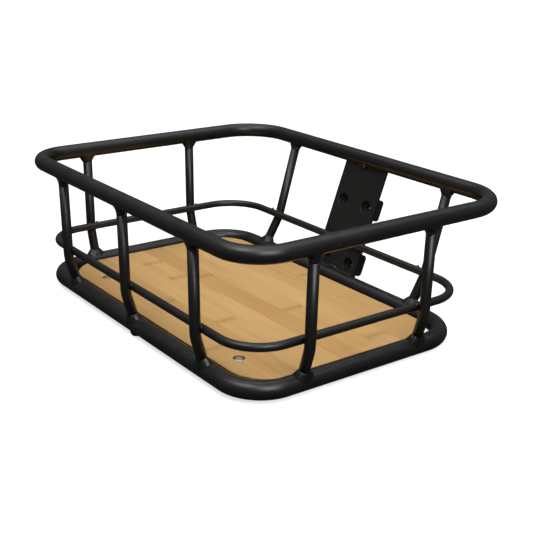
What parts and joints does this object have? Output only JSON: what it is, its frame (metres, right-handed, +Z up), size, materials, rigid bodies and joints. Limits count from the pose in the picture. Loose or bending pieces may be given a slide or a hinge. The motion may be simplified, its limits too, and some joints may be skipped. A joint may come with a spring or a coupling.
{
  "type": "bicycle cargo basket",
  "caption": "Open tubular front cargo basket with a flat wooden floor, a leaning mounting plate at the rear and a threaded boss under the front.",
  "frame": {"origin": "centre of the basket's footprint, at the height of the lamp boss's underside, which is its lowest point", "axes": "+X along the basket's long side, +Y to the rear, where the mounting plate is, +Z up"},
  "size_m": [0.426, 0.3233, 0.1475],
  "materials": {
    "frame_coat": "satin black powder coat",
    "weld_coat": "satin black powder coat over weld beads",
    "bamboo": "smooth clear-finished bamboo strips along X",
    "screw_plating": "plated steel"
  },
  "bodies": {
    "root": {"top_rail": "frame_coat", "middle_rail": "frame_coat", "bottom_rail": "frame_coat", "bottom_rail_front": "frame_coat", "front_upright_left": "frame_coat", "front_upright_centre": "frame_coat", "front_upright_right": "frame_coat", "rear_upright_left": "frame_coat", "rear_upright_right": "frame_coat", "left_upright_front": "frame_coat", "left_upright_rear": "frame_coat", "right_upright_front": "frame_coat", "right_upright_rear": "frame_coat", "mounting_plate": "frame_coat", "upper_mounting_block": "frame_coat", "lower_mounting_block": "frame_coat", "board_bearer_left": "frame_coat", "board_bearer_right": "frame_coat", "lamp_boss": "frame_coat", "floor_board": "bamboo", "board_screws": "screw_plating", "top_welds": "weld_coat", "middle_welds": "weld_coat", "bottom_welds": "weld_coat", "plate_welds": "weld_coat", "bearer_welds": "weld_coat", "rail_joint_bead": "weld_coat"}
  },
  "joints": []
}
